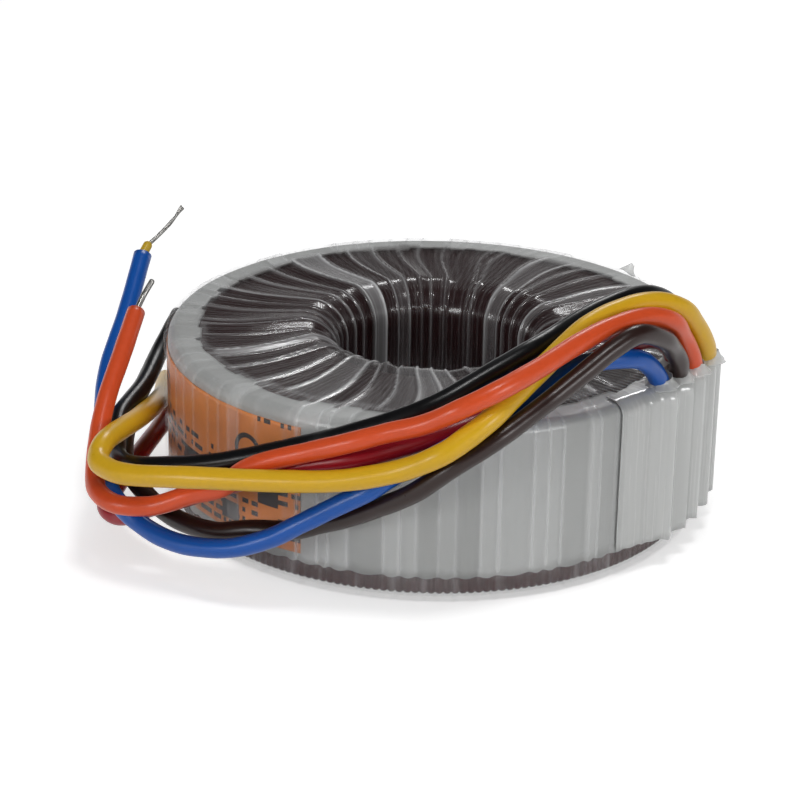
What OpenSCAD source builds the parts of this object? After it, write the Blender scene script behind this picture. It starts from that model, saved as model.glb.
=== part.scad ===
// Toroidal transformer with six sleeved flying leads.
// The ring stands on its lower face with its hole upright. The origin is on the
// hole's axis, in the plane of the lower face, and the leads leave at -X -Y to +X -Y.

/* [Ring] */
// Outer diameter over the clear film
ring_d = 110; // [90:1:140]
// Height of the ring over the clear film
ring_h = 37; // [30:0.5:50]
// Bore of the hole, inside the clear film
bore_d = 40; // [34:1:46]
// Radius of the ring's outer corners
outer_round = 3; // [2.5:0.5:5]
// Radius of the ring's corners at the hole
inner_round = 7; // [5:0.5:9]

/* [Clear film] */
// Thickness of the outer clear film, all its turns together
film_t = 0.5; // [0.4:0.05:0.8]
// Thickness of the clear film under the band
under_film_t = 0.4; // [0.2:0.05:0.6]
// Number of tape edges that show on the outer wall
wall_edges = 84; // [40:2:110]
// Number of slanted pleats on the upper face
pleats = 40; // [20:1:60]
// Number of tape edges that show in the hole
bore_edges = 24; // [12:1:30]
// Width of a tape edge's step
edge_w = 0.3; // [0.2:0.05:0.4]
// Depth of a tape edge's step
edge_depth = 0.2; // [0.1:0.05:0.3]
// Radius of the arc that each pleat follows
pleat_r = 34; // [30:1:40]

/* [Band and label] */
// Thickness of the pale band round the outer wall
band_t = 0.4; // [0.2:0.05:0.6]
// Height of the band's lower edge
band_foot = 5.5; // [4:0.5:8]
// Width of the band's fold on the upper face
band_fold = 4; // [3:0.5:8]
// Thickness of the label
label_t = 0.15; // [0.1:0.05:0.3]
// Angle where the label starts, from +X
label_start = 141; // [120:1:160]
// Angle that the label covers
label_sweep = 74; // [40:1:120]
// Height of the label's lower edge
label_foot = 7.5; // [5:0.5:10]
// Height of the label
label_h = 26; // [18:0.5:26]

/* [Windings] */
// Wire diameter of the outer secondary
wire_d = 1.1; // [0.8:0.1:1.4]
// Turns of the outer secondary
wire_turns = 72; // [40:1:80]
// Thickness of the inner secondary
inner_secondary_t = 1.1; // [0.8:0.1:1.6]
// Thickness of the film between the windings
screen_film_t = 0.4; // [0.2:0.05:0.6]
// Thickness of the primary on the outer wall and the faces
primary_t = 2.4; // [1.5:0.1:3]
// How much thicker a winding piles up in the hole than outside
bore_pile = 1.6; // [1:0.1:2]

/* [Core] */
// Wall of the core's two insulating caps
cap_t = 1.2; // [0.8:0.1:2]
// Gap between the two caps at half height
cap_split = 0.6; // [0.3:0.1:1.5]
// Strip turns that show as steps on the core's faces
strip_steps = 8; // [3:1:10]

/* [Lead anchor] */
// How far the anchor wrap stands out from the outer wall
anchor_t = 3.6; // [3:0.1:5]
// Thickness of the anchor wrap over the upper face
anchor_cap_t = 0.5; // [0.3:0.1:1]
// Radius of the ridge over each lead
ridge_r = 2.3; // [2:0.1:3]
// Height of the anchor wrap's lower edge
anchor_foot = 6; // [4:0.5:10]
// Radius that the anchor wrap's cap reaches in to
anchor_reach = 50; // [48:0.5:52]
// Angle of the middle of the anchor wrap, from +X
anchor_angle = -49; // [-55:1:-45]
// Angle that the anchor wrap covers
anchor_sweep = 56; // [50:1:70]

/* [Leads] */
// Diameter of the yellow lead's sleeve
main_lead_d = 4.2; // [3.6:0.1:4.3]
// Diameter of the other leads' sleeves
lead_d = 3.8; // [3.4:0.1:4]
// Diameter of a bare tinned conductor
conductor_d = 1.2; // [0.8:0.1:1.6]
// Diameter of the blue lead's fine strands, laid together
strand_d = 0.8; // [0.5:0.1:1]
// Diameter of the insulation inside the blue sleeve
core_wire_d = 2; // [1.6:0.1:2.4]

/* [Hidden] */
$fn = 96;

ring_r = ring_d / 2;
bore_r = bore_d / 2;
seat_gap = 0.1;          // clearance between one layer and the next
least_round = 0.5;       // no corner of a layer is sharper than this
cut_over = 1;            // how far a cutter runs past what it cuts

// Each layer's depth under the ring's surface: [outer wall, faces, hole].
film_in = [0, 0, 0];
label_in = film_t + seat_gap;
band_in = label_in + label_t + seat_gap;
band_face_in = film_t + seat_gap;
under_in = [band_in + band_t + seat_gap, band_face_in + band_t + seat_gap, film_t + seat_gap];
outer_secondary_in = beneath(under_in, under_film_t, 1);
inner_secondary_in = beneath(outer_secondary_in, wire_d, 1);
screen_in = beneath(inner_secondary_in, inner_secondary_t, bore_pile);
primary_in = beneath(screen_in, screen_film_t, 1);
cap_in = beneath(primary_in, primary_t, bore_pile);
core_in = beneath(cap_in, cap_t, 1);

anchor_r = ring_r + anchor_t;
anchor_top = ring_h + anchor_cap_t;

// Routes of the leads, from the anchor wrap to the sleeve's end.
black_route = [
    [40, -34, 37.5], [38, -35, 42], [33.5, -36.5, 47.5], [27.5, -38.5, 51.5], [19.5, -41, 53],
    [10, -43.5, 52], [1, -46, 50], [-6.5, -49, 49], [-16, -50, 46], [-25, -50, 42.5],
    [-32, -47.5, 39.5], [-40.5, -42, 35.5], [-45, -35.5, 32], [-53, -27, 27.5],
    [-58.5, -21.5, 25], [-63.5, -15.5, 23], [-68.5, -8, 21], [-69, 0, 19.5],
    [-66.5, 7.5, 20], [-62.5, 15.5, 21.5], [-53.5, 25.5, 23], [-45.5, 36.5, 25],
    [-37.5, 45, 29]
];
yellow_route = [
    [39, -40.5, 37.5], [37, -42.5, 41.5], [33, -44.5, 47], [29, -46, 51], [22.5, -46.5, 53.5],
    [15, -47, 53.5], [5.5, -49.5, 52], [-5.5, -54, 48], [-14, -58, 45], [-20, -60.5, 42.5],
    [-25, -60.5, 39.5], [-30, -59.5, 36.5], [-35.5, -54.5, 32.5], [-44, -48, 29.5],
    [-53, -40.5, 28], [-66, -29, 26.5], [-74, -19, 24.5], [-76.5, -13, 24],
    [-76.5, -9, 24.5], [-72.5, -3.5, 25.5], [-60, 11, 22.5], [-45.5, 36, 15], [-36.5, 56, 10]
];
orange_route = [
    [33.5, -44.5, 37.5], [32, -45.5, 41], [29, -47, 45.5], [24.5, -50, 50.5],
    [17.5, -51.5, 53], [9.5, -53, 53], [1, -55.5, 52], [-9.5, -59, 50], [-18.5, -61, 48],
    [-25.5, -59.5, 45], [-30.5, -55, 41], [-36, -50.5, 38.5], [-42, -46.5, 36],
    [-47.5, -41, 33], [-53, -35.5, 30], [-56.5, -31.5, 27], [-59.5, -28.5, 23],
    [-63.5, -23, 20], [-69, -18.5, 17], [-74.5, -14.5, 16.5], [-76.5, -9.5, 17],
    [-75.5, -4, 18], [-72, 3, 23], [-67.5, 9.5, 28.5], [-61.5, 17, 33.5], [-54.5, 26.5, 38.5]
];
brown_route = [
    [28.5, -46.5, 37.5], [27.5, -48.5, 41], [24.5, -50.5, 45], [20, -54, 49], [13, -56.5, 52],
    [7, -57.5, 50.5], [0.5, -58, 47], [-6, -58.5, 43.5], [-13.5, -60, 40.5],
    [-20, -60.5, 37.5], [-27, -58.5, 33], [-32.5, -53, 26.5], [-38.5, -44, 20],
    [-43, -39, 17], [-48, -35.5, 15], [-54.5, -30, 14], [-59, -24, 12], [-62.5, -14.5, 11],
    [-65, -6, 12.5], [-66, 3, 15.5], [-63, 12.5, 16.5], [-56.5, 25.5, 17], [-46, 41.5, 18.5]
];
blue_route = [
    [23.5, -48.5, 37.5], [21, -49.5, 41], [17.5, -51, 44], [13.5, -52, 45.5],
    [7.5, -52, 46], [1, -52, 45.5], [-6, -53.5, 43], [-13, -55.5, 41], [-22, -56, 37.5],
    [-28.5, -53, 33], [-34, -50.5, 30], [-39, -48.5, 26.5], [-43, -45.5, 23.5],
    [-49.5, -41.5, 19], [-54, -38, 15.5], [-59.5, -33, 12.5], [-64.5, -26.5, 11],
    [-68, -21, 11], [-70.5, -15.5, 12], [-72.5, -9.5, 14], [-71, 1, 14.5], [-66, 16.5, 19],
    [-60.5, 27.5, 26.5], [-52.5, 37, 34.5], [-45, 46.5, 43]
];
red_route = [
    [32, -40, 37.5], [30.5, -41, 40.5], [25.5, -44, 44.5], [19, -47, 46.5], [10, -48, 45],
    [1, -48.5, 42], [-9, -50.5, 40], [-18.5, -52, 38.5], [-27, -50.5, 36], [-35.5, -46, 32.5],
    [-41, -43, 31], [-47.5, -37, 28.5], [-54, -29, 24], [-60.5, -20, 18.5], [-68, -11, 13],
    [-71, -5, 9.5], [-72, -0.5, 10], [-67.5, 6, 10.5], [-57.5, 18.5, 11], [-46, 34, 10],
    [-38.5, 45.5, 8.5]
];

// Routes of what comes out of each sleeve's end.
black_tip_route = [[-37.5, 45, 29], [-35.5, 46.5, 29], [-33, 47.5, 30.5], [-29, 49, 33]];
yellow_tip_route = [[-36.5, 56, 10], [-34.5, 60.5, 9]];
orange_tip_route = [[-54.5, 26.5, 38.5], [-52, 28.5, 41], [-50, 29, 43.5]];
brown_tip_route = [[-46, 41.5, 18.5], [-43, 46, 19]];
blue_inner_route = [[-45, 46.5, 43], [-43.5, 47.5, 44.5]];
blue_tip_route = [[-43.5, 47.5, 44.5], [-39, 49, 47], [-34, 51, 50.5]];
red_tip_route = [[-38.5, 45.5, 8.5], [-35.5, 50, 8]];

lead_sides = 8;

// The depth of the layer that lies just beneath one of the given depth and thickness.
function beneath(depth, thickness, pile) = [
    depth[0] + thickness + seat_gap,
    depth[1] + thickness + seat_gap,
    depth[2] + thickness * pile + seat_gap
];

function unit(v) = v / norm(v);

// Heading of a route at point i. A route leaves the anchor wrap straight up.
function heading(route, i, first) =
    i == 0 ? first : unit(route[min(i + 1, len(route) - 1)] - route[i - 1]);

// A sideways direction at point i that turns as little as it can along the route.
function sideways(route, i, first) =
    let (t = heading(route, i, first))
    let (s = i == 0 ? cross(t, [0.6, 0.8, 0.1]) : sideways(route, i - 1, first))
    unit(s - (s * t) * t);

// Right-angled half section of the ring at the given depths, in radius and height.
module ring_section(depth) {
    near = bore_r + depth[2];
    far = ring_r - depth[0];
    low = depth[1];
    tall = ring_h - 2 * low;
    mid = (near + far) / 2;
    far_round = max(outer_round - depth[0], least_round);
    near_round = max(inner_round - depth[2], least_round);
    corner_block(mid, far - mid, low, tall, far_round, 1);
    corner_block(mid, mid - near, low, tall, near_round, -1);
}

// A rectangle from the middle radius outwards (way 1) or inwards (way -1) with two round corners.
module corner_block(mid, w, low, tall, round, way) {
    translate([mid, 0])
        mirror([way < 0 ? 1 : 0, 0]) {
            translate([-least_round, low]) square([w - round + least_round, tall]);
            translate([0, low + round]) square([w, tall - 2 * round]);
            for (z = [low + round, low + tall - round])
                translate([w - round, z]) circle(r = round);
        }
}

// Section of a layer between two depths.
module layer_section(outer, inner) {
    difference() {
        ring_section(outer);
        ring_section(inner);
    }
}

module layer(depth, thickness, pile) {
    inner = beneath(depth, thickness, pile) - [1, 1, 1] * seat_gap;
    rotate_extrude() layer_section(depth, inner);
}

// The strip-wound core, with the ends of its strip turns as fine steps on both faces.
module core_strip_roll() {
    near = bore_r + core_in[2];
    far = ring_r - core_in[0];
    low = core_in[1];
    step_pitch = (far - near) / (strip_steps + 1);
    step_w = 0.3;
    step_depth = 0.3;
    color("dimgray") rotate_extrude() difference() {
        ring_section(core_in);
        for (i = [1:strip_steps], z = [low, ring_h - low - step_depth])
            translate([near + i * step_pitch, z]) square([step_w, step_depth]);
    }
}

// One of the two insulating caps that the core sits in.
module core_cap(upper) {
    half = (ring_h - cap_split) / 2;
    color("ivory") rotate_extrude() intersection() {
        layer_section(cap_in, core_in - [1, 1, 1] * seat_gap);
        translate([0, upper ? ring_h - half : 0]) square([ring_r, half]);
    }
}

module primary_winding() {
    color("saddlebrown") layer(primary_in, primary_t, bore_pile);
}

module screen_film() {
    color("khaki") layer(screen_in, screen_film_t, 1);
}

module inner_secondary_winding() {
    color("sienna") layer(inner_secondary_in, inner_secondary_t, bore_pile);
}

// Separate turns of wire, each a closed loop round the ring's section.
module outer_secondary_winding() {
    inner = outer_secondary_in + [1, 1, 1] * wire_d;
    color([0.30, 0.12, 0.12])
        for (i = [0:wire_turns - 1])
            rotate([0, 0, i * 360 / wire_turns])
                rotate([90, 0, 0])
                    linear_extrude(height = wire_d, center = true)
                        layer_section(outer_secondary_in, inner);
}

module under_film() {
    color([0.75, 0.75, 0.75, 0.5]) layer(under_in, under_film_t, 1);
}

// The pale band: a wall round the ring, folded over onto the upper face.
module outer_band() {
    outer = [band_in, band_face_in, 0];
    fold_r = ring_r - outer_round - band_fold;
    color("whitesmoke") rotate_extrude() intersection() {
        layer_section(outer, outer + [band_t, band_t, 0]);
        translate([fold_r, band_foot]) square([ring_r - fold_r, ring_h - band_foot]);
    }
}

module label() {
    color("peru") rotate([0, 0, label_start]) rotate_extrude(angle = label_sweep)
        translate([ring_r - label_in - label_t, label_foot]) square([label_t, label_h]);
}

// Uneven spacing of hand-laid tape turns: the angle of turn i out of n.
function turn_angle(i, n) = (i + 0.35 * sin(i * 137)) * 360 / n;

// The clear film over the whole ring, with the edges of its tape turns pressed into it.
module clear_film_wrap() {
    wall_low = outer_round + 1;
    wall_tall = ring_h - 2 * wall_low;
    bore_low = inner_round + 1;
    bore_tall = ring_h - 2 * bore_low;
    pleat_centre = (bore_r + ring_r) / 2;
    color([0.82, 0.84, 0.85, 0.6]) difference() {
        layer(film_in, film_t, 1);
        for (i = [0:wall_edges - 1])
            rotate([0, 0, turn_angle(i, wall_edges)])
                translate([ring_r - edge_depth, -edge_w / 2, wall_low])
                    cube([edge_depth + cut_over, edge_w, wall_tall]);
        for (i = [0:bore_edges - 1])
            rotate([0, 0, turn_angle(i, bore_edges)])
                translate([bore_r - cut_over, -edge_w / 2, bore_low])
                    cube([edge_depth + cut_over, edge_w, bore_tall]);
        for (i = [0:pleats - 1])
            rotate([0, 0, turn_angle(i, pleats)]) pleat(pleat_centre);
    }
}

// Cutter for one pleat: an arc that sweeps from near the hole out to the ring's rim.
module pleat(centre) {
    inner_end = 16;
    sweep = 38;
    translate([centre, -pleat_r, ring_h - edge_depth])
        rotate([0, 0, 90 - sweep + inner_end])
            rotate_extrude(angle = sweep)
                translate([pleat_r, 0]) square([edge_w, edge_depth + cut_over]);
}

// Profile of the anchor wrap: over the outer wall and onto the upper face.
module anchor_profile(far, top) {
    intersection() {
        union() {
            translate([0, 0]) square([far, top - outer_round]);
            translate([0, 0]) square([far - outer_round, top]);
            translate([far - outer_round, top - outer_round]) circle(r = outer_round);
        }
        translate([anchor_reach, anchor_foot]) square([far, top]);
    }
}

// The wrap that holds the leads against the outer wall, with a ridge over each of them.
module lead_anchor_wrap() {
    web_r = ring_r + anchor_t / 2;
    ridge_places = [-39, -46, -53, -59, -65];
    start = anchor_angle - anchor_sweep / 2;
    color([0.70, 0.70, 0.67]) difference() {
        union() {
            rotate([0, 0, start])
                rotate_extrude(angle = anchor_sweep) anchor_profile(web_r, anchor_top);
            intersection() {
                rotate_extrude() anchor_profile(anchor_r, anchor_top);
                for (a = ridge_places)
                    rotate([0, 0, a]) translate([anchor_r - ridge_r, 0, 0])
                        cylinder(r = ridge_r, h = anchor_top);
            }
        }
        rotate_extrude() ring_section([-seat_gap, -seat_gap, 0]);
    }
}

// A round lead swept along its route. The first ring faces the first heading.
module swept_lead(route, d, first) {
    n = len(route);
    points = [
        for (i = [0:n - 1])
            let (t = heading(route, i, first))
            let (s = sideways(route, i, first))
            for (k = [0:lead_sides - 1])
                let (a = (k + 0.5) * 360 / lead_sides)
                route[i] + d / 2 * (cos(a) * s + sin(a) * cross(t, s))
    ];
    walls = [
        for (i = [0:n - 2], k = [0:lead_sides - 1])
            let (m = (k + 1) % lead_sides)
            [i * lead_sides + m, i * lead_sides + k,
             (i + 1) * lead_sides + k, (i + 1) * lead_sides + m]
    ];
    foot = [for (k = [0:lead_sides - 1]) k];
    head = [for (k = [lead_sides - 1:-1:0]) (n - 1) * lead_sides + k];
    polyhedron(points, concat([foot], walls, [head]));
}

// A sleeve leaves the anchor wrap upright.
module sleeve(route, d) {
    swept_lead(route, d, [0, 0, 1]);
}

// A conductor or insulation that comes out of the end of a sleeve, square to that end.
module tip(route, parent, d) {
    last = len(parent) - 1;
    swept_lead(route, d, unit(parent[last] - parent[last - 1]));
}

core_strip_roll();
core_cap(false);  // core_cap_lower
core_cap(true);  // core_cap_upper
primary_winding();
screen_film();
inner_secondary_winding();
outer_secondary_winding();
under_film();
outer_band();
label();
clear_film_wrap();
lead_anchor_wrap();
color("black") sleeve(black_route, lead_d);  // black_lead_sleeve
color("gold") sleeve(yellow_route, main_lead_d);  // yellow_lead_sleeve
color("orangered") sleeve(orange_route, lead_d);  // orange_lead_sleeve
color([0.25, 0.15, 0.12]) sleeve(brown_route, lead_d);  // brown_lead_sleeve
color("mediumblue") sleeve(blue_route, lead_d);  // blue_lead_sleeve
color("darkred") sleeve(red_route, lead_d);  // red_lead_sleeve
color("silver") tip(black_tip_route, black_route, strand_d);  // black_lead_conductor
color("silver") tip(yellow_tip_route, yellow_route, conductor_d);  // yellow_lead_conductor
color("silver") tip(orange_tip_route, orange_route, conductor_d);  // orange_lead_conductor
color("silver") tip(brown_tip_route, brown_route, conductor_d);  // brown_lead_conductor
color("silver") tip(blue_tip_route, blue_inner_route, strand_d);  // blue_lead_conductor
color("silver") tip(red_tip_route, red_route, conductor_d);  // red_lead_conductor
color("gold") tip(blue_inner_route, blue_route, core_wire_d);  // blue_lead_inner_insulation
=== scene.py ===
"""Looks of a toroidal transformer with six sleeved flying leads.

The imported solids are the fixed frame. The clear film, the band, the label, the wire turns,
the anchor wrap and the leads get surfaces of their own, and the other solids get finishes.
Sizes are in millimetres until a mesh is placed.
"""

import logging
import math
from dataclasses import dataclass, field
from enum import Enum

import bpy
import numpy as np
from mathutils import Matrix, Vector


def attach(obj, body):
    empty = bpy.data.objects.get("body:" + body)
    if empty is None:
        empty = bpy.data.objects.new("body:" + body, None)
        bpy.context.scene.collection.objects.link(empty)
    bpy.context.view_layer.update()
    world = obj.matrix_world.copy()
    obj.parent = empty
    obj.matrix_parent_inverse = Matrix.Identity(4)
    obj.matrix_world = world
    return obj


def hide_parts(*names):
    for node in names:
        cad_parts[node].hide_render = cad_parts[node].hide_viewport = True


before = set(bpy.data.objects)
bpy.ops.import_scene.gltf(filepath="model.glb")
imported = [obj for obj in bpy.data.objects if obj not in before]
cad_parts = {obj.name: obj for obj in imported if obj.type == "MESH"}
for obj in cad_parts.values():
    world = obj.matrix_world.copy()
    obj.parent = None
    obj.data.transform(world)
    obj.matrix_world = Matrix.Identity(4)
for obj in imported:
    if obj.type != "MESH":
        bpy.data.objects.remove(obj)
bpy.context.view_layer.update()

MM = 0.001
FULL_TURN = 2 * math.pi
LOG = logging.getLogger("toroid")
Array = np.ndarray
Colour = tuple[float, float, float]
Point = tuple[float, float, float]


class Pattern(Enum):
    """Where a finish's grain takes its coordinates from."""

    OBJECT = "Object"
    TURNS = "UV"


class EndShape(Enum):
    """How the far end of a round tube is finished."""

    CUT = "cut"
    DOME = "dome"


class Graph:
    """A node tree, with short ways to add and join nodes."""

    def __init__(self, tree: bpy.types.NodeTree) -> None:
        """Keeps the tree."""
        self.tree = tree

    def feed(self, socket: bpy.types.NodeSocket, value: object) -> None:
        """Links a socket to another, or sets its value.

        Args:
            socket: the socket to fill.
            value: another socket, or a plain value.
        """
        if isinstance(value, bpy.types.NodeSocket):
            self.tree.links.new(value, socket)
        else:
            socket.default_value = value

    def add(self, kind: str, inputs: dict | None = None, **settings: object) -> bpy.types.Node:
        """Adds a node.

        Args:
            kind: the node's type.
            inputs: values or sockets for its inputs.
            settings: its properties.

        Returns:
            The node.
        """
        node = self.tree.nodes.new(kind)
        for key, value in settings.items():
            setattr(node, key, value)
        for key, value in (inputs or {}).items():
            self.feed(node.inputs[key], value)
        return node

    def math(self, operation: str, a: object, b: object = 0.0) -> bpy.types.NodeSocket:
        """Adds a sum, product or comparison of two values."""
        return self.add("ShaderNodeMath", {0: a, 1: b}, operation=operation).outputs[0]

    def value(self, name: str) -> bpy.types.NodeSocket:
        """Reads a number that a mesh keeps at its corners."""
        return self.add("ShaderNodeAttribute", attribute_name=name).outputs["Fac"]

    def ramp(self, share: object, low: Colour, high: Colour) -> bpy.types.NodeSocket:
        """Turns a share into a colour between two.

        Args:
            share: the share, from 0 to 1.
            low: the colour at 0.
            high: the colour at 1.

        Returns:
            The colour socket.
        """
        node = self.add("ShaderNodeValToRGB", {0: share})
        node.color_ramp.elements[0].color = (*low, 1)
        node.color_ramp.elements[1].color = (*high, 1)
        return node.outputs[0]

    def noise(self, pattern: Pattern, scale: float, stretch: Point) -> bpy.types.NodeSocket:
        """Adds an uneven grain from 0 to 1.

        Args:
            pattern: the kind of grain.
            scale: how fine the grain is.
            stretch: how it is scaled along each axis.

        Returns:
            The socket of the grain.
        """
        where = self.add("ShaderNodeTexCoord").outputs[pattern.value]
        placed = self.add("ShaderNodeMapping", {"Vector": where, "Scale": stretch}).outputs[0]
        inputs = {"Vector": placed, "Scale": scale, "Detail": 4.0, "Roughness": 0.6}
        return self.add("ShaderNodeTexNoise", inputs).outputs[0]

    def seen(self) -> bpy.types.NodeSocket:
        """Is 1 for rays from the camera, off gloss or through clear matter, and 0 otherwise."""
        path = self.add("ShaderNodeLightPath").outputs
        gloss = self.math("MAXIMUM", path["Is Glossy Ray"], path["Is Transmission Ray"])
        return self.math("MAXIMUM", path["Is Camera Ray"], gloss)


@dataclass(frozen=True)
class Finish:
    """A material: a colour with grain, a gloss and a fine relief.

    dark is the darkest patches' share of the colour, scale the grain's fineness, and relief
    its height. toned adds the mesh's own tone to the grain. milky_with_sheen takes the opacity
    from the mesh, and runs the colour from what shows through the film to the film's own; the
    film's lighter strips along its pleats are partly milky folds and partly painted sheen.
    """

    name: str
    colour: Colour
    dark: float = 0.8
    roughness: float = 0.4
    pattern: Pattern = Pattern.OBJECT
    scale: float = 500.0
    stretch: Point = (1.0, 1.0, 1.0)
    relief: float = 0.02
    metallic: float = 0.0
    coat: float = 0.0
    specular: float = 0.5
    alpha: float = 1.0
    toned: bool = False
    milky_with_sheen: bool = False
    through: Colour = (0.02, 0.006, 0.007)

    def build(self) -> bpy.types.Material:
        """Makes the material.

        Returns:
            The material.
        """
        material = bpy.data.materials.new(self.name)
        material.use_nodes = True
        graph = Graph(material.node_tree)
        shader = material.node_tree.nodes["Principled BSDF"].inputs
        grain = graph.noise(self.pattern, self.scale, self.stretch)
        share = grain
        if self.toned:
            tone = graph.math("MULTIPLY", graph.value("tone"), 0.7)
            share = graph.math("ADD", tone, graph.math("MULTIPLY", grain, 0.3))
        darkest = tuple(part * self.dark for part in self.colour)
        # On the film the colour runs from what shows through to the film's own; its lighter strips
        # along the pleats are partly milky folds and partly painted sheen.
        if self.milky_with_sheen:
            share, darkest = graph.value("milk_and_sheen"), self.through
        graph.feed(shader["Base Color"], self.base(graph, graph.ramp(share, darkest, self.colour)))
        rough = graph.math("MULTIPLY", grain, 0.2)
        graph.feed(shader["Roughness"], graph.math("ADD", rough, self.roughness - 0.1))
        inputs = {"Height": grain, "Strength": 0.6, "Distance": self.relief * MM}
        graph.feed(shader["Normal"], graph.add("ShaderNodeBump", inputs).outputs[0])
        shader["Metallic"].default_value = self.metallic
        shader["Coat Weight"].default_value = self.coat
        shader["Specular IOR Level"].default_value = self.specular
        if self.milky_with_sheen:
            graph.feed(shader["Alpha"], graph.value("body"))
        else:
            shader["Alpha"].default_value = self.alpha
        return material

    def base(self, graph: Graph, ground: bpy.types.NodeSocket) -> bpy.types.NodeSocket:
        """Gives the base colour, here the plain ground."""
        return ground


@dataclass(frozen=True)
class PrintedFinish(Finish):
    """The label's sheet: rows of short dark bars, a few blocks and one ring on a plain ground.

    long and tall are the sheet's size, and ink the marks' colour.
    """

    long: float = 70.0
    tall: float = 26.0
    ink: Colour = (0.02, 0.015, 0.015)

    def base(self, graph: Graph, ground: bpy.types.NodeSocket) -> bpy.types.NodeSocket:
        """Draws the marks over the ground.

        A mark fills a cell of a grid where a random number passes a level, inside a window
        of the cell's height. The ring is where the distance to a point is near its radius.

        Args:
            graph: the graph to draw in.
            ground: the colour under the marks.

        Returns:
            The colour socket.
        """
        where = graph.add("ShaderNodeTexCoord").outputs["UV"]
        split = graph.add("ShaderNodeSeparateXYZ", {0: where}).outputs
        across = graph.math("MULTIPLY", split[0], self.long)
        up = graph.math("MULTIPLY", split[1], self.tall)

        def cells(width: float, height: float, level: float, gap: float) -> bpy.types.NodeSocket:
            """Draws a row of cells, some of them marked.

            Args:
                width: how wide a cell is.
                height: how high a cell is.
                level: the share of cells left bare.
                gap: the space between cells.

            Returns:
                The socket that is 1 on a mark.
            """
            column = graph.math("FLOOR", graph.math("DIVIDE", across, width))
            rows = graph.math("DIVIDE", up, height)
            inputs = {0: column, 1: graph.math("FLOOR", rows), 2: width}
            corner = graph.add("ShaderNodeCombineXYZ", inputs).outputs[0]
            chance = graph.add("ShaderNodeTexWhiteNoise", {"Vector": corner}).outputs[0]
            within = graph.math("GREATER_THAN", graph.math("FRACT", rows), gap)
            return graph.math("MULTIPLY", graph.math("GREATER_THAN", chance, level), within)

        bars = graph.math("MULTIPLY", cells(0.8, 2.0, 0.45, 0.5), cells(12.0, 8.0, 0.4, 0.1))
        marks = graph.math("MAXIMUM", bars, cells(5.0, 6.0, 0.86, 0.35))
        aside = graph.math("POWER", graph.math("SUBTRACT", across, self.long * 0.82), 2.0)
        above = graph.math("POWER", graph.math("SUBTRACT", up, self.tall * 0.7), 2.0)
        far = graph.math("SQRT", graph.math("ADD", aside, above))
        ring = graph.math("LESS_THAN", graph.math("ABSOLUTE", graph.math("SUBTRACT", far, 3.0)), 0.5)
        marks = graph.math("MAXIMUM", marks, ring)
        inputs = {0: marks, 6: ground, 7: (*self.ink, 1)}
        return graph.add("ShaderNodeMix", inputs, data_type="RGBA").outputs[2]


@dataclass
class Surface:
    """A mesh held as arrays.

    points has a row for each corner, quads and fans hold corner numbers, caps are flat faces
    of many corners, and uv has a pair for each corner of each quad.
    """

    points: Array
    quads: Array
    fans: Array = field(default_factory=lambda: np.empty((0, 3), int))
    caps: list[list[int]] = field(default_factory=list)
    uv: Array | None = None
    values: dict[str, Array] = field(default_factory=dict)

    @classmethod
    def grid(cls, points: Array, wrap_u: bool = False, wrap_v: bool = False) -> "Surface":
        """Joins a grid of points with quads.

        Args:
            points: corners by u, v and coordinate. u turned towards v points outwards.
            wrap_u: whether the last row joins the first.
            wrap_v: whether the last column joins the first.

        Returns:
            The surface, with u and v as shares for its UV map.
        """
        nu, nv = points.shape[:2]
        u_span, v_span = nu - (not wrap_u), nv - (not wrap_v)
        u, v = np.arange(u_span)[:, None], np.arange(v_span)[None, :]
        corners = ((u, v), (u + 1, v), (u + 1, v + 1), (u, v + 1))
        quads = [(a % nu) * nv + b % nv for a, b in corners]
        shares = [np.stack(np.broadcast_arrays(a / u_span, b / v_span), -1) for a, b in corners]
        uv = np.stack(shares, 2).reshape(-1, 2)
        return cls(points.reshape(-1, 3), np.stack(quads, -1).reshape(-1, 4), uv=uv)

    @classmethod
    def join(cls, parts: list["Surface"]) -> "Surface":
        """Puts several surfaces into one.

        Args:
            parts: the surfaces to put together.

        Returns:
            The one surface.
        """
        starts = np.cumsum([0] + [len(part.points) for part in parts[:-1]])
        return cls(
            np.vstack([part.points for part in parts]),
            np.vstack([part.quads + start for part, start in zip(parts, starts)]),
            np.vstack([part.fans + start for part, start in zip(parts, starts)]),
        )

    def place(
        self, name: str, finish: bpy.types.Material, slot: str, *nodes: str, thick: float = 0.0
    ) -> bpy.types.Object:
        """Makes the piece and lets it ride on the part.

        Args:
            name: the piece's name.
            finish: its material.
            slot: the record's material slot; not used.
            nodes: the solids that it stands for.
            thick: wall to give an open sheet, inwards.

        Returns:
            The piece.
        """
        mesh = bpy.data.meshes.new(name)
        faces = self.quads.tolist() + self.fans.tolist() + self.caps
        mesh.from_pydata((self.points * MM).tolist(), [], faces)
        if self.uv is not None:
            spare = 3 * len(self.fans) + sum(len(cap) for cap in self.caps)
            corners = np.vstack((self.uv, np.zeros((spare, 2)))).astype(np.float32)
            mesh.uv_layers.new(name="turns").data.foreach_set("uv", corners.ravel())
        for key, value in self.values.items():
            layer = mesh.attributes.new(key, "FLOAT", "POINT")
            layer.data.foreach_set("value", value.astype(np.float32).ravel())
        mesh.polygons.foreach_set("use_smooth", np.ones(len(faces), bool))
        mesh.materials.append(finish)
        mesh.update()
        piece = bpy.data.objects.new(name, mesh)
        bpy.context.scene.collection.objects.link(piece)
        if thick:
            wall = piece.modifiers.new("wall", "SOLIDIFY")
            wall.thickness, wall.offset = thick * MM, -1
        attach(piece, "root")
        if nodes:
            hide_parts(*nodes)
        LOG.info("%s: %d faces", name, len(faces))
        return piece


def unit(rows: Array) -> Array:
    """Scales each row to length 1."""
    return rows / np.linalg.norm(rows, axis=-1, keepdims=True)


def polar(angle: Array, radius: Array, height: Array) -> Array:
    """Gives the points at an angle, a radius and a height."""
    flat = np.broadcast_arrays(radius * np.cos(angle), radius * np.sin(angle), height)
    return np.stack(flat, -1)


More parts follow.
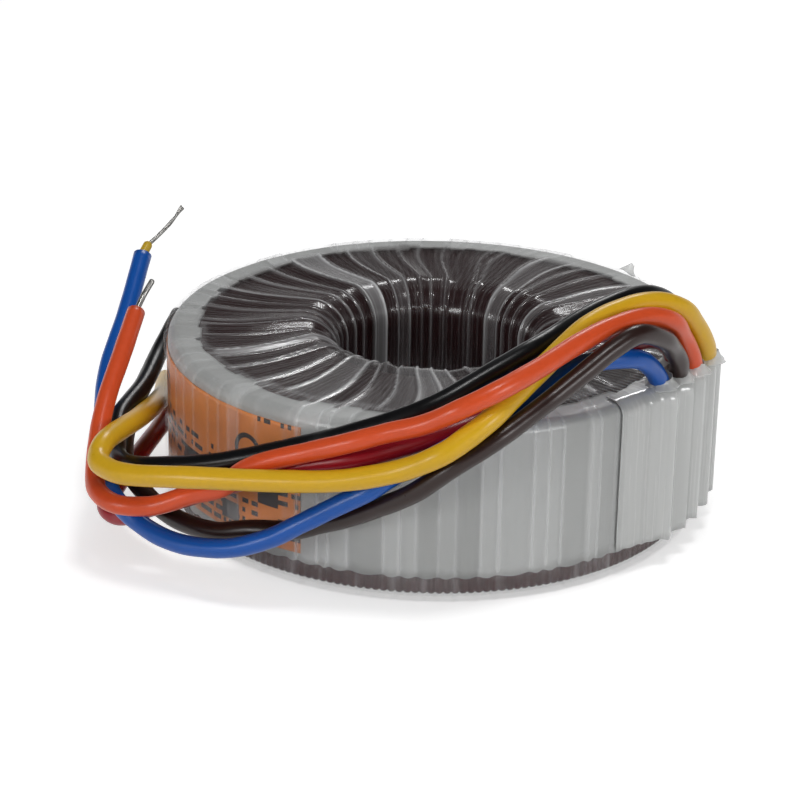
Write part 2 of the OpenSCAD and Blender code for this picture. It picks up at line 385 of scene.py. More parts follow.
def ridge(share: Array, width: float) -> Array:
    """Peaks of height 1 at the ends of each turn, as a bell curve of the distance to them."""
    return np.exp(-((np.minimum(share, 1 - share) / width) ** 2))


def spline(points: Array, steps: int) -> Array:
    """Draws a Catmull-Rom curve, a cubic through each point whose slope joins its neighbours.

    Args:
        points: the points to pass through, one row each.
        steps: how many rows each stretch gets.

    Returns:
        The rows along the curve.
    """
    ends = (2 * points[:1] - points[1:2], points, 2 * points[-1:] - points[-2:-1])
    row = np.vstack(ends)
    t = (np.arange(steps) / steps)[None, :, None]
    a, b, c, d = (row[i : len(row) - 3 + i, None, :] for i in range(4))
    bend = (2 * a - 5 * b + 4 * c - d) * t**2 + (3 * b - a - 3 * c + d) * t**3
    return np.vstack((0.5 * (2 * b + (c - a) * t + bend).reshape(-1, 3), points[-1:]))


def headings(path: Array) -> tuple[Array, Array, Array]:
    """Gives each point of a path its heading and two directions square to it.

    The sides are square to one fixed direction, chosen from a spiral over the sphere as the
    one that no heading comes near.

    Args:
        path: the points of the path, one row each.

    Returns:
        The heading, the side and the upward direction at each point.
    """
    along = unit(np.gradient(path, axis=0))
    step = (np.arange(200) + 0.5) / 200
    turn, level = step * 200 * math.pi * (1 + 5**0.5), 1 - 2 * step
    flat = np.sqrt(1 - level**2)
    trial = np.stack((flat * np.cos(turn), flat * np.sin(turn), level), -1)
    best = trial[np.abs(trial @ along.T).max(1).argmin()]
    side = unit(np.cross(along, best))
    return along, side, np.cross(along, side)


def tube(path: Array, radius: Array, sides: int, end: EndShape) -> Surface:
    """Carries a circle along a path.

    Args:
        path: the middle of each ring.
        radius: each ring's radius.
        sides: corners of a ring.
        end: how the far end is finished.

    Returns:
        A closed surface.
    """
    along, side, other = headings(path)
    turn = np.radians([25.0, 50.0, 72.0])
    steps = np.stack((np.sin(turn), np.cos(turn)), -1)
    if end is EndShape.CUT:
        steps = np.array([[0.0, 0.7], [-0.8, 0.68]])
    grow = [(0, len(steps)), (0, 0)]
    centres = np.vstack((path, path[-1] + steps[:, :1] * radius[-1] * along[-1]))
    widths = np.concatenate((radius, steps[:, 1] * radius[-1]))[:, None, None]
    angle = -(np.arange(sides) / sides * FULL_TURN)[None, :, None]
    side, other = (np.pad(rows, grow, mode="edge")[:, None, :] for rows in (side, other))
    rings = centres[:, None, :] + widths * (np.cos(angle) * side + np.sin(angle) * other)
    made = Surface.grid(rings, wrap_v=True)
    tip = centres[-1] if end is EndShape.CUT else path[-1] + radius[-1] * along[-1]
    near = np.arange(sides)
    after, foot = (near + 1) % sides, len(made.points)
    far = foot - sides
    starts, tips = np.full(sides, foot), np.full(sides, foot + 1)
    made.fans = np.vstack(
        (np.stack((starts, near, after), -1), np.stack((tips, far + after, far + near), -1))
    )
    made.points = np.vstack((made.points, path[:1], tip[None]))
    return made


@dataclass
class TapeTurns:
    """Uneven turns of tape round the ring, with a tone and a tilt for each.

    Turn i starts at i pitches, moved by a random share of the pitch.
    """

    count: int
    seed: int
    uneven: float = 0.8

    def __post_init__(self) -> None:
        """Draws the turns."""
        rng = np.random.default_rng(self.seed)
        moved = np.arange(self.count) + self.uneven * (rng.random(self.count) - 0.5)
        self.starts = moved * FULL_TURN / self.count
        self.tone = rng.random(self.count)
        self.tilt = rng.uniform(-1, 1, self.count)

    def at(self, angle: Array) -> tuple[Array, Array, Array]:
        """Gives the share of the way over a turn, its tone and its tilt at each angle.

        Args:
            angle: the angles to ask at.

        Returns:
            The share, the tone and the tilt at each angle.
        """
        wrapped = np.mod(angle - self.starts[0], FULL_TURN) + self.starts[0]
        index = np.searchsorted(self.starts, wrapped, side="right") - 1
        stops = np.append(self.starts[1:], self.starts[0] + FULL_TURN)
        share = (wrapped - self.starts[index]) / (stops[index] - self.starts[index])
        return share, self.tone[index], self.tilt[index]


@dataclass(frozen=True)
class Ring:
    """Sizes of the wound ring over its clear film."""

    outer_r: float = 55.0
    hole_r: float = 20.0
    height: float = 37.0
    outer_round: float = 3.0
    hole_round: float = 7.0
    seam: float = math.radians(62)

    def angles(self, count: int) -> Array:
        """Evenly spaced angles for the rows of a closed grid."""
        return (self.seam + np.arange(count) / count * FULL_TURN)[:, None]

    def section(self, depth: Point, counts: tuple[int, ...]) -> tuple[Array, Array, Array]:
        """Gives the ring's closed section at a depth under its surface.

        A point lies one corner radius from a rectangle, in a direction that turns from
        outwards over the top, the hole and the bottom back to outwards.

        Args:
            depth: under the outer wall, the faces and the hole.
            counts: points on each of the four straights and the corner after it.

        Returns:
            Radius, height and direction of each point.
        """
        wide, tight = self.outer_round - depth[0], self.hole_round - depth[2]
        far, near = self.outer_r - depth[0] - wide, self.hole_r + depth[2] + tight
        low, top = depth[1], self.height - depth[1]
        stops = np.array(
            [
                (far, low + wide, 0, wide), (far, top - wide, 0, wide),
                (far, top - wide, 90, wide), (near, top - tight, 90, tight),
                (near, top - tight, 180, tight), (near, low + tight, 180, tight),
                (near, low + tight, 270, tight), (far, low + wide, 270, wide),
                (far, low + wide, 360, wide),
            ]
        )
        t = np.concatenate([j + np.arange(n) / n for j, n in enumerate(counts)])
        x, z, way, corner = (np.interp(t, np.arange(9), column) for column in stops.T)
        way = np.radians(way)
        return x + corner * np.cos(way), z + corner * np.sin(way), way


def lapped_line(
    far: Array, top: Array, corner: float, low: Array, fold: Array, counts: tuple[int, int, int]
) -> tuple[Array, Array]:
    """Runs up a wall, round its corner as a quarter circle, and in over the top.

    Args:
        far: the wall's radius in each row.
        top: the top's height in each row.
        corner: the corner's radius.
        low: the wall's lower edge.
        fold: the radius where the line ends.
        counts: points on the wall, the corner and the top.

    Returns:
        Radius and height by row and point.
    """
    one = np.ones_like(low)
    up, turn = np.arange(counts[0]) / counts[0], np.radians(np.linspace(0, 90, counts[1]))
    inward = np.arange(1, counts[2] + 1) / counts[2]
    start = (far - corner) * one
    radius = (far * one + 0 * up, start + corner * np.cos(turn), start + (fold - start) * inward)
    rise = (low + (top - corner - low) * up, (top - corner) * one + corner * np.sin(turn))
    return np.hstack(radius), np.hstack((*rise, top * one + 0 * inward))


def lapped_shell(angle: Array, outer: tuple, inner: tuple, closed: bool) -> Surface:
    """Joins an outer line and the inner line under it into one closed shell.

    Args:
        angle: the angle of each row.
        outer: the outer line, as radius and height.
        inner: the inner line, as radius and height.
        closed: whether the rows go all the way round.

    Returns:
        The closed shell.
    """
    radius = np.hstack((outer[0], inner[0][:, ::-1]))
    height = np.hstack((outer[1], inner[1][:, ::-1]))
    made = Surface.grid(polar(angle, radius, height), wrap_u=closed, wrap_v=True)
    if not closed:
        rows, wide = radius.shape
        last = list(range((rows - 1) * wide, rows * wide))
        made.caps = [list(range(wide)), last[::-1]]
    return made


@dataclass(frozen=True)
class Wrapping:
    """The soft layers of the ring: wire turns, band, label and clear film."""

    ring: Ring = Ring()
    fine: TapeTurns = field(default_factory=lambda: TapeTurns(84, 11))
    coarse: TapeTurns = field(default_factory=lambda: TapeTurns(46, 7))
    wires: int = 216
    wire_depth: Point = (1.85, 1.6, 1.1)
    wire_counts: tuple[int, ...] = (9, 5, 14, 8, 6, 6, 10, 4)
    rows_per_wire: int = 5
    band_r: float = 54.15
    band_top: float = 36.4
    band_corner: float = 2.15
    band_t: float = 0.35
    band_foot: float = 5.5
    band_rows: int = 672
    band_counts: tuple[int, int, int] = (12, 6, 6)
    fold_r: float = 48.0
    label_r: float = 54.4
    label_span: tuple[float, float] = (141.0, 215.0)
    label_rise: tuple[float, float] = (7.5, 33.5)
    label_t: float = 0.12
    film_rows: int = 864
    film_counts: tuple[int, ...] = (14, 8, 34, 16, 10, 8, 12, 5)
    bow: float = 0.06
    tail_angle: float = 12.0
    tail_t: float = 0.1

    def wire_turns(self, finish: bpy.types.Material) -> None:
        """Lays wires side by side round the section, each a half circle across its pitch.

        Args:
            finish: the material of the surface.
        """
        radius, height, way = self.ring.section(self.wire_depth, self.wire_counts)
        angle = self.ring.angles(self.wires * self.rows_per_wire)
        share = np.mod(angle * self.wires / FULL_TURN, 1)
        sink = 0.45 * (np.sqrt(1 - 0.96 * (2 * share - 1) ** 2) - 1)
        points = polar(angle, radius + sink * np.cos(way), height + sink * np.sin(way))
        made = Surface.grid(points, wrap_u=True, wrap_v=True)
        made.place("wire_turns", finish, "secondary_wire", "outer_secondary_winding")

    def band(self, finish: bpy.types.Material) -> None:
        """Wraps the pale band: its foot is scalloped by the turns and its fold is uneven.

        Args:
            finish: the material of the surface.
        """
        angle = self.ring.angles(self.band_rows)
        share, tone, tilt = self.fine.at(angle)
        low = self.band_foot + 0.5 * ridge(share, 0.25)
        fold = self.fold_r - 0.9 * tilt + 0.4 * np.sin(9 * angle)
        lines = [
            lapped_line(
                self.band_r - depth, self.band_top - depth, self.band_corner - depth,
                low, fold, self.band_counts,
            )
            for depth in (0.0, self.band_t)
        ]
        made = lapped_shell(angle, *lines, closed=True)
        made.values["tone"] = np.broadcast_to(tone, (len(angle), 2 * sum(self.band_counts)))
        made.place("folded_band", finish, "pale_band", "outer_band")

    def label(self, finish: bpy.types.Material) -> None:
        """Bends the label's sheet round the wall, with shallow waves across it.

        Args:
            finish: the material of the surface.
        """
        angle = np.radians(np.linspace(*self.label_span, 161))[:, None]
        height = np.linspace(*self.label_rise, 31)[None, :]
        radius = self.label_r - 0.05 * (1 + np.sin(40 * angle + height / 4))
        made = Surface.grid(polar(angle, radius, height))
        made.place("label_sheet", finish, "label_sheet", "label", thick=self.label_t)

    def film(self, finish: bpy.types.Material) -> None:
        """Wraps the clear film.

        On the wall each turn is a small step. Over the top and through the hole the turns
        crowd into pleats: each is a tilted facet with a bell-shaped ridge at its edge, and
        the edges bow along the sine of the way from rim to hole.

        Args:
            finish: the material of the surface.
        """
        radius, height, way = self.ring.section((0, 0, 0), self.film_counts)
        angle = self.ring.angles(self.film_rows)
        wall, hole = np.clip(np.cos(way), 0, 1) ** 2, np.clip(-np.cos(way), 0, 1) ** 2
        top, under = np.clip(np.sin(way), 0, 1) ** 2, np.clip(-np.sin(way), 0, 1) ** 2
        across = np.clip((52 - radius) / 25, 0, 1)
        bowed = angle - self.bow * np.sin(math.pi * across) * top
        step, tone, tilt = self.fine.at(bowed)
        pleat, shade, lean = self.coarse.at(bowed)
        edge, fold = ridge(step, 0.1), ridge(pleat, 0.09)
        wave = 0.1 * np.sin(5 * angle + 1.3) + 0.08 * np.sin(13 * angle + 5 * across)
        lift = wall * (0.1 * tilt * (step - 0.5) + 0.03 * edge)
        lift += top * (0.35 + across) * (0.5 * lean * (pleat - 0.5) + 0.2 * fold + wave)
        lift += hole * (0.7 * lean * (pleat - 0.5) + 0.4 * fold) - under * 0.12 * (1 - edge)
        made = Surface.grid(
            polar(angle, radius + lift * np.cos(way), height + lift * np.sin(way)),
            wrap_u=True,
            wrap_v=True,
        )
        # Painted sheen: some whole pleats get a lighter film colour and more opacity, and so do the
        # pleat ridges; these strips are partly milky folds of film and partly painted sheen standing
        # in for the pleats' reflections.
        pleat_sheen = np.clip((shade - 0.62) / 0.38, 0, 1) ** 2
        rim = np.clip((radius - 46.5 - 0.8 * lean) / 2, 0, 1)
        foot = np.clip((5.6 + 0.5 * edge - height) / 0.4, 0, 1)
        deep = np.clip(1 - rim + foot, 0, 1)
        folds_and_sheen = 0.4 * pleat_sheen + 0.5 * fold * (0.2 + shade) + 0.1 * edge + 0.3 * foot
        made.values["milk_and_sheen"] = np.clip(deep * folds_and_sheen + (1 - deep), 0, 1)
        over_band = 0.06 + 0.18 * tone**2 + 0.2 * edge * (0.4 + tone)
        body = deep * (0.5 + 0.4 * folds_and_sheen) + (1 - deep) * over_band
        made.values["body"] = body * (1 - 0.8 * foot)
        made.place("film_turns", finish, "clear_film", "clear_film_wrap")

    def tail(self, finish: bpy.types.Material) -> None:
        """Lifts a small free corner of film at the back of the rim, narrowing as it rises.

        Args:
            finish: the material of the surface.
        """
        rise, wide = np.linspace(0, 1, 9)[None, :], np.linspace(-0.5, 0.5, 9)[:, None]
        angle = math.radians(self.tail_angle) + wide * (5.5 - 4.5 * rise) / self.ring.outer_r
        height = 36.3 + 1.5 * rise + 0.3 * np.sin(6 * wide)
        made = Surface.grid(polar(angle, 53.6 + 1.6 * rise**2 + 0 * wide, height))
        made.place("film_tail", finish, "clear_film", thick=self.tail_t)


@dataclass(frozen=True)
class Anchor:
    """The wrap that holds the leads against the wall, with a ridge over each of them."""

    middle: float = -49.0
    sweep: float = 56.0
    ridges: tuple[float, ...] = (-39.0, -46.0, -53.0, -59.0, -65.0)
    exits: tuple[tuple[float, float, float], ...] = (
        (40, -34, 3.8), (39, -40.5, 4.2), (33.5, -44.5, 3.8),
        (28.5, -46.5, 3.8), (23.5, -48.5, 3.8), (32, -40, 3.8),
    )
    rows: int = 281
    counts: tuple[int, int, int] = (18, 8, 9)
    ramp: float = 12.0
    foot: float = 6.0
    fold_r: float = 50.0
    gather_t: float = 0.12

    def wrap(self, finish: bpy.types.Material) -> None:
        """Swells the wrap out of the wall: a smooth rise at both ends, and a bell over each lead.

        Args:
            finish: the material of the surface.
        """
        degrees = np.linspace(-self.sweep / 2, self.sweep / 2, self.rows)[:, None] + self.middle
        angle = np.radians(degrees)
        turns = TapeTurns(120, 5)
        share, tone, tilt = turns.at(angle)
        near_end = self.sweep / 2 - np.abs(degrees - self.middle)
        near_end = np.clip(near_end / self.ramp, 0, 1)
        swell = near_end**2 * (3 - 2 * near_end)
        bells = np.exp(-(((degrees - np.array(self.ridges)) / 1.7) ** 2)).max(1, keepdims=True)
        crease = 0.35 * tilt * (share - 0.5) + 0.12 * ridge(share, 0.15)
        far = 54.75 + swell * (1.8 + 1.8 * bells + crease)
        top = 36.9 + 0.6 * swell
        low = self.foot + 0.35 * ridge(share, 0.3)
        fold = self.fold_r + 0.5 * tilt * swell
        outer = lapped_line(far, top, 2.9, low, fold, self.counts)
        inner = lapped_line(54.6, 36.7, 2.6, low, fold, self.counts)
        made = lapped_shell(angle, outer, inner, closed=False)
        wide = 2 * sum(self.counts)
        # Painted highlight: the tone is lighter over each lead's ridge, mixed half and half with the
        # turns' random tone.
        made.values["tone"] = np.broadcast_to(0.5 * tone + 0.5 * bells, (self.rows, wide))
        made.place("anchor_swell", finish, "anchor_film", "lead_anchor_wrap")

    def gathers(self, finish: bpy.types.Material) -> None:
        """Gathers film round each lead: a cone that closes on the lead, with radial folds.

        Args:
            finish: the material of the surface.
        """
        turn = np.linspace(0, FULL_TURN, 48, endpoint=False)[:, None]
        rise = np.linspace(0, 1, 10)[None, :]
        cones = []
        for x, y, lead_d in self.exits:
            folds = 0.2 * np.sin(7 * turn + x) * (1 - 0.6 * rise) + 0.1 * np.sin(15 * turn)
            radius = lead_d / 2 + 0.3 + 1.4 * (1 - rise) ** 2 + folds * (1 - rise)
            cone = polar(turn, radius, 37.1 + (2.0 + 0.3 * np.sin(2 * turn + y)) * rise)
            cones.append(Surface.grid(cone + np.array([x, y, 0.0]), wrap_u=True))
        made = Surface.join(cones)
        made.place("exit_gathers", finish, "anchor_film", thick=self.gather_t)


@dataclass(frozen=True)
class Lead:
    """A stiff sleeved lead: its route, the conductor at its end, and its length."""

    colour: str
    shade: Colour
    length: float
    route: tuple[Point, ...]
    tip: tuple[Point, ...]
    sleeve_d: float = 3.8
    tip_d: float = 1.2
    core_d: float = 0.0
    core: tuple[Point, ...] = ()

    def bare_end(self, tinned: bpy.types.Material, inner: bpy.types.Material) -> list:
        """Makes what comes out of the sleeve: one rounded conductor, or seven fine strands.

        Args:
            tinned: the material of the bare metal.
            inner: the material of the inner insulation.

        Returns:
            What was made.
        """
        slot, made = "tinned_copper", []
        start = self.core or self.tip
        way = unit(np.array(start[0]) - np.array(self.route[-2]))
        first = np.array(start[0]) - 1.4 * way
        if self.core:
            path = spline(np.vstack((first, self.core)), 8)
            core = tube(path, np.full(len(path), self.core_d / 2), 20, EndShape.DOME)
            node = f"{self.colour}_lead_inner_insulation"
            made.append(core.place(f"{self.colour}_inner", inner, "yellow_sleeve", node))
            path = spline(np.array(self.tip), 12)
            strands = self.strands(path)
        else:
            path = spline(np.vstack((first, self.tip)), 10)
            strands = tube(path, np.full(len(path), self.tip_d / 2), 18, EndShape.DOME)
        node = f"{self.colour}_lead_conductor"
        made.append(strands.place(f"{self.colour}_tip", tinned, slot, node))
        return made

    def strands(self, path: Array) -> Surface:
        """Lays seven strands as a loose helix that fans out flat towards its end.

        Args:
            path: the points of the bare end.

        Returns:
            The surface of all strands.
        """
        along, side, other = headings(path)
        lift = unit(np.array([0.0, 0.0, 1.0]) - along[:, 2:] * along)
        share = np.linspace(0, 1, len(path))[:, None]
        parts = []
        for k in range(7):
            turn = FULL_TURN * (k / 7 + 1.5 * share)
            lay = 0.3 * (np.cos(turn) * side + np.sin(turn) * other) * (1 - 0.5 * share)
            middle = path + lay + (k / 6 - 0.5) * 1.1 * share**3 * lift
            parts.append(tube(middle, np.full(len(path), 0.17), 8, EndShape.DOME))
        return Surface.join(parts)

    def build(self, tinned: bpy.types.Material, inner: bpy.types.Material) -> None:
        """Args:
            tinned: the material of the bare metal.
            inner: the material of the inner insulation.
        """
        skin = Finish(
            f"{self.colour}_silicone", self.shade, dark=0.86, roughness=0.32, scale=900,
            relief=0.012, specular=0.4,
        )
        path = spline(np.array(self.route, float), 10)
        run = np.concatenate(([0], np.cumsum(np.linalg.norm(np.diff(path, axis=0), axis=1))))
        radius = self.sleeve_d / 2 * (1 + 0.012 * np.sin(run / 2.9) + 0.008 * np.sin(run / 1.1))
        name = f"{self.colour}_lead_sleeve"
        made = tube(path, radius, 28, EndShape.CUT)
        sleeve = made.place(f"{self.colour}_sleeve_tube", skin.build(), f"{self.colour}_sleeve", name)
        self.bare_end(tinned, inner)


LEADS = (
    Lead(
        "black", (0.004, 0.004, 0.005), 207,
        (
            (40, -34, 37.5), (38, -35, 42), (33.5, -36.5, 47.5), (27.5, -38.5, 51.5),
            (19.5, -41, 53), (10, -43.5, 52), (1, -46, 50), (-6.5, -49, 49), (-16, -50, 46),
            (-25, -50, 42.5), (-32, -47.5, 39.5), (-40.5, -42, 35.5), (-45, -35.5, 32),
            (-53, -27, 27.5), (-58.5, -21.5, 25), (-63.5, -15.5, 23), (-68.5, -8, 21),
            (-69, 0, 19.5), (-66.5, 7.5, 20), (-62.5, 15.5, 21.5), (-53.5, 25.5, 23),
            (-45.5, 36.5, 25), (-37.5, 45, 29),
        ),
        ((-37.5, 45, 29), (-35.5, 46.5, 29), (-33, 47.5, 30.5), (-29, 49, 33)),
        tip_d=0.8,
    ),
    Lead(
        "yellow", (0.72, 0.42, 0.012), 236,
        (
            (39, -40.5, 37.5), (37, -42.5, 41.5), (33, -44.5, 47), (29, -46, 51),
            (22.5, -46.5, 53.5), (15, -47, 53.5), (5.5, -49.5, 52), (-5.5, -54, 48),
            (-14, -58, 45), (-20, -60.5, 42.5), (-25, -60.5, 39.5), (-30, -59.5, 36.5),
            (-35.5, -54.5, 32.5), (-44, -48, 29.5), (-53, -40.5, 28), (-66, -29, 26.5),
            (-74, -19, 24.5), (-76.5, -13, 24), (-76.5, -9, 24.5), (-72.5, -3.5, 25.5),
            (-60, 11, 22.5), (-45.5, 36, 15), (-36.5, 56, 10),
        ),
        ((-36.5, 56, 10), (-34.5, 60.5, 9)),
        sleeve_d=4.2,
    ),
    Lead(
        "orange", (0.72, 0.085, 0.02), 198,
        (
            (33.5, -44.5, 37.5), (32, -45.5, 41), (29, -47, 45.5), (24.5, -50, 50.5),
            (17.5, -51.5, 53), (9.5, -53, 53), (1, -55.5, 52), (-9.5, -59, 50),
            (-18.5, -61, 48), (-25.5, -59.5, 45), (-30.5, -55, 41), (-36, -50.5, 38.5),
            (-42, -46.5, 36), (-47.5, -41, 33), (-53, -35.5, 30), (-56.5, -31.5, 27),
            (-59.5, -28.5, 23), (-63.5, -23, 20), (-69, -18.5, 17), (-74.5, -14.5, 16.5),
            (-76.5, -9.5, 17), (-75.5, -4, 18), (-72, 3, 23), (-67.5, 9.5, 28.5),
            (-61.5, 17, 33.5), (-54.5, 26.5, 38.5),
        ),
        ((-54.5, 26.5, 38.5), (-52, 28.5, 41), (-50, 29, 43.5)),
    ),
    Lead(
        "brown", (0.024, 0.01, 0.008), 196,
        (
            (28.5, -46.5, 37.5), (27.5, -48.5, 41), (24.5, -50.5, 45), (20, -54, 49),
            (13, -56.5, 52), (7, -57.5, 50.5), (0.5, -58, 47), (-6, -58.5, 43.5),
            (-13.5, -60, 40.5), (-20, -60.5, 37.5), (-27, -58.5, 33), (-32.5, -53, 26.5),
            (-38.5, -44, 20), (-43, -39, 17), (-48, -35.5, 15), (-54.5, -30, 14),
            (-59, -24, 12), (-62.5, -14.5, 11), (-65, -6, 12.5), (-66, 3, 15.5),
            (-63, 12.5, 16.5), (-56.5, 25.5, 17), (-46, 41.5, 18.5),
        ),
        ((-46, 41.5, 18.5), (-43, 46, 19)),
    ),
    Lead(
        "blue", (0.004, 0.09, 0.42), 203,
        (
            (23.5, -48.5, 37.5), (21, -49.5, 41), (17.5, -51, 44), (13.5, -52, 45.5),
            (7.5, -52, 46), (1, -52, 45.5), (-6, -53.5, 43), (-13, -55.5, 41),
            (-22, -56, 37.5), (-28.5, -53, 33), (-34, -50.5, 30), (-39, -48.5, 26.5),
            (-43, -45.5, 23.5), (-49.5, -41.5, 19), (-54, -38, 15.5), (-59.5, -33, 12.5),
            (-64.5, -26.5, 11), (-68, -21, 11), (-70.5, -15.5, 12), (-72.5, -9.5, 14),
            (-71, 1, 14.5), (-66, 16.5, 19), (-60.5, 27.5, 26.5), (-52.5, 37, 34.5),
            (-45, 46.5, 43),
        ),
        ((-43.5, 47.5, 44.5), (-39, 49, 47), (-34, 51, 50.5)),
        core_d=2.0,
        core=((-45, 46.5, 43), (-43.5, 47.5, 44.5)),
    ),
    Lead(
        "red", (0.36, 0.007, 0.018), 200,
        (
            (32, -40, 37.5), (30.5, -41, 40.5), (25.5, -44, 44.5), (19, -47, 46.5),
            (10, -48, 45), (1, -48.5, 42), (-9, -50.5, 40), (-18.5, -52, 38.5),
            (-27, -50.5, 36), (-35.5, -46, 32.5), (-41, -43, 31), (-47.5, -37, 28.5),
            (-54, -29, 24), (-60.5, -20, 18.5), (-68, -11, 13), (-71, -5, 9.5),
            (-72, -0.5, 10), (-67.5, 6, 10.5), (-57.5, 18.5, 11), (-46, 34, 10),
            (-38.5, 45.5, 8.5),
        ),
        ((-38.5, 45.5, 8.5), (-35.5, 50, 8)),
    ),
)


@dataclass(frozen=True)
class Softbox:
    """A soft lamp: where it stands round the part, its size, and its power."""

    name: str
    azimuth: float
    elevation: float
    distance: float
    wide: float
    tall: float
    watts: float

    def build(self, target: Vector) -> None:
        """Aims the lamp at the part.

        Args:
            target: the point the lamp looks at.
        """
        light = bpy.data.lights.new(self.name, "AREA")
        light.shape, light.size, light.size_y = "RECTANGLE", self.wide, self.tall
        light.energy = self.watts
        lamp = bpy.data.objects.new(self.name, light)
        bpy.context.scene.collection.objects.link(lamp)
        a, e = math.radians(self.azimuth), math.radians(self.elevation)
        back = Vector((math.cos(a) * math.cos(e), math.sin(a) * math.cos(e), math.sin(e)))
        lamp.location = target + back * self.distance
        lamp.rotation_euler = (-back).to_track_quat("-Z", "Y").to_euler()


@dataclass(frozen=True)
class Studio:
    """Camera, pale floor, soft surroundings and lamps."""

    eye: Point = (-236.4, -444.6, 227.1)
    middle: Point = (0.0, 0.0, 18.6)
    aside: float = -6.84
    above: float = 1.0
    roll: float = 0.0183
    lens: float = 119.2
    lamps: tuple[Softbox, ...] = (
        Softbox("left_lamp", -160, 16, 0.7, 0.24, 0.14, 1.1),
        Softbox("right_lamp", -75, 18, 0.7, 0.24, 0.14, 1.3),
        Softbox("top_lamp", -105, 70, 0.6, 0.1, 0.1, 0.9),
        Softbox("back_lamp", 55, 40, 0.7, 0.2, 0.08, 0.9),
    )

    def camera(self) -> None:
        """Sets the camera up, aimed a little aside of the ring's middle and barely rolled."""
        eye, middle = Vector(self.eye) * MM, Vector(self.middle) * MM
        ahead = (middle - eye).normalized()
        right = ahead.cross(Vector((0, 0, 1))).normalized()
        aim = middle + right * self.aside * MM + right.cross(ahead) * self.above * MM
        ahead = (aim - eye).normalized()
        right = ahead.cross(Vector((0, 0, 1))).normalized()
        upward = right.cross(ahead)
        c, s = math.cos(self.roll), math.sin(self.roll)
        right, upward = c * right + s * upward, c * upward - s * right
        data = bpy.data.cameras.new("camera")
        data.lens, data.sensor_width = self.lens, 36.0
        data.clip_start, data.clip_end = 0.01, 100.0
        eye_piece = bpy.data.objects.new("camera", data)
        bpy.context.scene.collection.objects.link(eye_piece)
        turned = Matrix((right, upward, -ahead)).transposed().to_4x4()
        eye_piece.matrix_world = Matrix.Translation(eye) @ turned
        bpy.context.scene.camera = eye_piece

    def floor(self) -> None:
        """Lays a pale floor that looks white and keeps the part's shadow."""
        material = bpy.data.materials.new("pale_floor")
        material.use_nodes = True
        graph = Graph(material.node_tree)
        shader = material.node_tree.nodes["Principled BSDF"].inputs
        grain = graph.noise(Pattern.OBJECT, 3.0, (1.0, 1.0, 1.0))
        graph.feed(shader["Base Color"], graph.ramp(grain, (0.8, 0.8, 0.8), (0.84, 0.84, 0.84)))
        shader["Roughness"].default_value = 0.9
        shader["Specular IOR Level"].default_value = 0.0
        shader["Emission Color"].default_value = (1, 1, 1, 1)
        graph.feed(shader["Emission Strength"], graph.math("MULTIPLY", graph.seen(), 0.55))
        mesh = bpy.data.meshes.new("floor")
        wide = 6.0
        corners = [(-wide, -wide, 0), (wide, -wide, 0), (wide, wide, 0), (-wide, wide, 0)]
        mesh.from_pydata(corners, [], [(0, 1, 2, 3)])
        mesh.materials.append(material)
        floor = bpy.data.objects.new("floor", mesh)
        bpy.context.scene.collection.objects.link(floor)

    def surroundings(self) -> None:
        """Surrounds the part: white near the horizon, dim overhead, and a plain level of light."""
        world = bpy.data.worlds.new("surroundings")
        bpy.context.scene.world = world
        world.use_nodes = True
        graph = Graph(world.node_tree)
        where = graph.add("ShaderNodeTexCoord").outputs["Generated"]
        level = graph.add("ShaderNodeSeparateXYZ", {0: where}).outputs[2]
        inputs = {"Value": level, "From Min": 0.12, "From Max": 0.3, "To Min": 1.0, "To Max": 0.04}
        shown = graph.add("ShaderNodeMapRange", inputs).outputs[0]
        seen = graph.seen()
        plain = graph.math("MULTIPLY", graph.math("SUBTRACT", 1.0, seen), 0.22)
        strength = graph.math("ADD", plain, graph.math("MULTIPLY", seen, shown))
        sky = world.node_tree.nodes["Background"].inputs
        sky[0].default_value = (1, 1, 1, 1)
        graph.feed(sky[1], strength)

    def build(self) -> None:
        """Makes the floor, the surroundings and the lamps."""
        self.floor()
        self.surroundings()
        for lamp in self.lamps:
            lamp.build(Vector(self.middle) * MM)
        bpy.context.scene.view_settings.view_transform = "Standard"


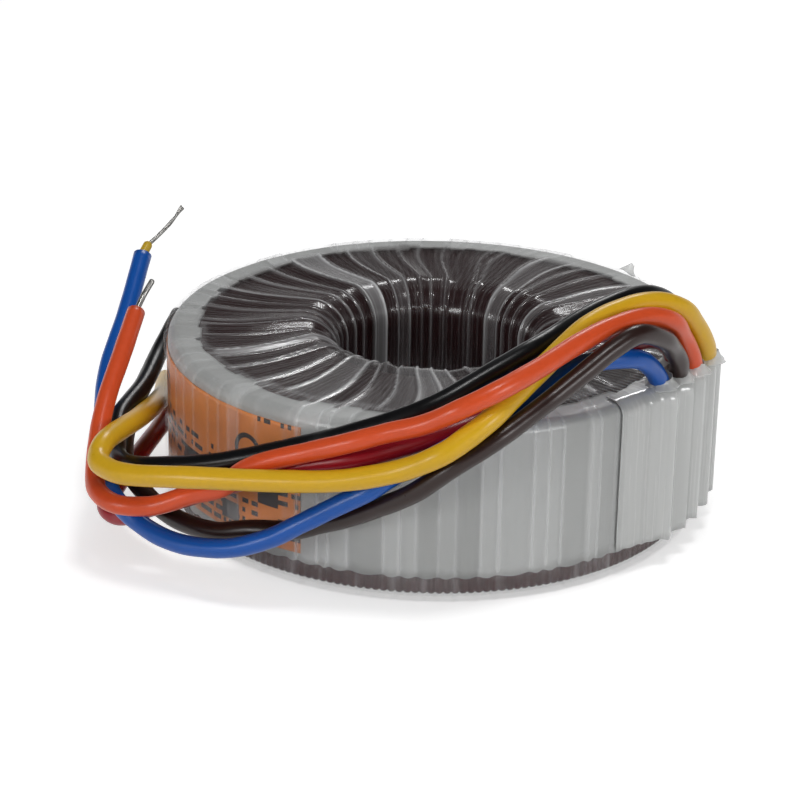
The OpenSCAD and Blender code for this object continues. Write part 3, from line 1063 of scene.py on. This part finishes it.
FINISHES = {
    "wires": Finish("maroon_wire", (0.06, 0.008, 0.009), dark=0.4, roughness=0.35, coat=0.1),
    "band": Finish(
        "pale_tape", (0.52, 0.53, 0.52), dark=0.6, roughness=0.4, pattern=Pattern.TURNS,
        scale=1.0, stretch=(400.0, 6.0, 1.0), toned=True,
    ),
    "film": Finish(
        "clear_film", (0.8, 0.81, 0.82), dark=0.85, roughness=0.2, pattern=Pattern.TURNS,
        scale=1.0, stretch=(500.0, 25.0, 1.0), relief=0.05, specular=1.0, milky_with_sheen=True,
    ),
    "under": Finish("under_film", (0.3, 0.28, 0.28), roughness=0.25, alpha=0.04),
    "anchor": Finish(
        "anchor_film", (0.58, 0.59, 0.58), dark=0.7, roughness=0.26, pattern=Pattern.TURNS,
        scale=1.0, stretch=(70.0, 3.0, 1.0), relief=0.05, coat=0.6, toned=True,
    ),
    "gather": Finish("gathered_film", (0.8, 0.81, 0.8), roughness=0.2, relief=0.05, alpha=0.55),
    "tinned": Finish("tinned_copper", (0.5, 0.49, 0.47), roughness=0.4, metallic=1.0, scale=1500),
    "inner": Finish("inner_insulation", (0.62, 0.4, 0.02), roughness=0.4, scale=900),
    "label": PrintedFinish("printed_sheet", (0.85, 0.27, 0.05), dark=0.72, roughness=0.4),
}

KEPT_SOLIDS = {
    "core_strip_roll": Finish("rolled_steel", (0.3, 0.3, 0.32), metallic=1.0, roughness=0.45),
    "core_cap_lower": Finish("moulded_cap", (0.7, 0.68, 0.6), roughness=0.5, scale=300),
    "core_cap_upper": Finish("moulded_cap_upper", (0.7, 0.68, 0.6), roughness=0.5, scale=300),
    "primary_winding": Finish("copper_wire", (0.4, 0.13, 0.05), dark=0.6, coat=0.3, relief=0.1),
    "screen_film": Finish("screen_tape", (0.6, 0.5, 0.2), roughness=0.35, relief=0.05),
    "inner_secondary_winding": Finish("inner_wire", (0.12, 0.03, 0.02), dark=0.5, coat=0.3),
    "under_film": FINISHES["under"],
}


def dress_solids() -> None:
    """Gives each solid that stays its finish."""
    for node, finish in KEPT_SOLIDS.items():
        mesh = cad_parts[node].data
        mesh.materials.clear()
        mesh.materials.append(finish.build())
        LOG.info("%s: %s", node, finish.name)


def main() -> None:
    """Builds the camera, the leads, the wrapping, the anchor and the studio in order."""
    logging.basicConfig(level=logging.INFO, format="%(message)s")
    studio = Studio()
    studio.camera()
    made = {key: finish.build() for key, finish in FINISHES.items()}
    for lead in LEADS:
        lead.build(made["tinned"], made["inner"])
    wrapping = Wrapping()
    wrapping.wire_turns(made["wires"])
    wrapping.band(made["band"])
    wrapping.label(made["label"])
    wrapping.film(made["film"])
    wrapping.tail(made["gather"])
    anchor = Anchor()
    anchor.wrap(made["anchor"])
    anchor.gathers(made["gather"])
    dress_solids()
    studio.build()


if __name__ == "__main__":
    main()
